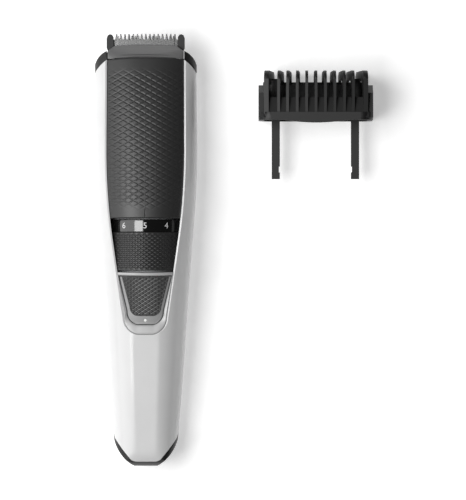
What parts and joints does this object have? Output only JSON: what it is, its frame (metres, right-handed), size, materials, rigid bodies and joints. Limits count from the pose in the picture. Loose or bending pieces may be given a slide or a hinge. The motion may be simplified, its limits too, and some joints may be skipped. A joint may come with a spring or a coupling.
{
  "type": "beard trimmer",
  "caption": "Cordless beard trimmer with a textured front panel, a length-setting wheel, a press button, a hinged steel cutter and a loose clip-on comb.",
  "frame": {"origin": "on the flat rear face that the trimmer rests on, on its centre line, 80 mm up from the base end", "axes": "+Z out of the front face with the wheel and button, +Y towards the blades, +X to the right seen from the front; the loose comb lies beside it on +X"},
  "size_m": [0.1127, 0.175, 0.0351],
  "materials": {
    "pearl_shell": "satin pearl lacquer over moulded ABS",
    "silver_trim": "bright silver lacquer",
    "grey_lip": "satin mid-grey plastic",
    "black_rubber": "soft-touch, textured",
    "black_plastic": "fine satin",
    "black_panel": "satin with moulded diamonds",
    "gloss_black": "polished, printed numbers",
    "dark_grey": "dark grey satin metal-effect",
    "blade_steel": "ground and polished",
    "inner_plastic": "natural grey acetal",
    "zinc_screw": "zinc plated",
    "motor_steel": "nickel-plated can",
    "bronze": "sintered bronze",
    "contact_metal": "plated",
    "motor_black": "moulded nylon",
    "board_green": "solder mask",
    "cell_sleeve": "shrink sleeve",
    "light": "clear light guide",
    "wire_red": "PVC insulation",
    "wire_black": "PVC insulation"
  },
  "bodies": {
    "housing": {"front_shell": "pearl_shell", "rear_shell": "pearl_shell", "rear_grip": "black_rubber", "base_cap": "black_plastic", "shoulder_cap": "black_plastic", "front_panel": "black_panel", "button_bezel": "silver_trim", "inner_chassis": "inner_plastic", "housing_screws": "zinc_screw", "head_seal": "black_rubber", "cutter_hinge_pin": "blade_steel", "rocker_pivot_pin": "blade_steel", "wheel_detent_spring": "blade_steel", "motor_can": "motor_steel", "motor_magnets": "motor_steel", "motor_end_cap": "motor_black", "motor_terminals": "contact_metal", "motor_bearing": "bronze", "motor_screws": "zinc_screw", "battery_cell": "cell_sleeve", "battery_tabs": "contact_metal", "circuit_board": "board_green", "board_components": "motor_black", "tact_switch": "motor_black", "charge_led": "light", "socket_housing": "black_plastic", "socket_pins": "contact_metal", "wire_red": "wire_red", "wire_black": "wire_black"},
    "wheel": {"length_wheel": "black_panel", "number_ring": "gloss_black"},
    "carrier": {"comb_carrier": "inner_plastic", "carrier_lugs": "inner_plastic"},
    "button": {"button_frame": "grey_lip", "button_pad": "black_rubber", "light_pipe": "light"},
    "rotor": {"motor_rotor": "motor_steel", "motor_shaft": "motor_steel", "eccentric": "inner_plastic"},
    "rocker": {"drive_rocker": "inner_plastic"},
    "cutter": {"cutter_frame": "black_plastic", "cutter_cover": "dark_grey", "fixed_blade": "blade_steel", "blade_screws": "blade_steel", "blade_spring": "blade_steel"},
    "blade": {"moving_blade": "blade_steel", "blade_carriage": "inner_plastic"},
    "comb": {"beard_comb": "black_plastic"}
  },
  "joints": [
    {"name": "wheel_turn", "type": "hinge", "parent": "housing", "child": "wheel", "pos_m": [0, 0.009, 0.0185], "axis": [0, 1, 0], "range_deg": [-147, 163.3]},
    {"name": "carrier_slide", "type": "slide", "parent": "housing", "child": "carrier", "axis": [0, 1, 0], "range_m": [-0.0045, 0.005]},
    {"name": "button_press", "type": "slide", "parent": "housing", "child": "button", "axis": [0, 0, -1], "range_m": [0, 0.0005], "stiffness_N_per_m": 500, "springref_m": -0.0008},
    {"name": "rotor_spin", "type": "hinge", "parent": "housing", "child": "rotor", "pos_m": [0, 0.04, 0.0185], "axis": [0, 1, 0], "continuous": true},
    {"name": "rocker_swing", "type": "hinge", "parent": "housing", "child": "rocker", "pos_m": [0, 0.07, 0.02], "axis": [0, 0, 1], "range_deg": [-4, 4]},
    {"name": "cutter_flip", "type": "hinge", "parent": "housing", "child": "cutter", "pos_m": [0, 0.087, 0.01], "axis": [-1, 0, 0], "range_deg": [0, 60]},
    {"name": "blade_slide", "type": "slide", "parent": "cutter", "child": "blade", "axis": [1, 0, 0], "range_m": [-0.0012, 0.0012]},
    {"name": "comb_lift", "type": "slide", "parent": "housing", "child": "comb", "axis": [0, 0, 1], "range_m": [0, 0.06]}
  ],
  "couplings": [
    {"joint": "wheel_turn", "follows": "carrier_slide", "rad_per_m": 568.98},
    {"joint": "rocker_swing", "follows": "blade_slide", "rad_per_m": -57.8}
  ]
}
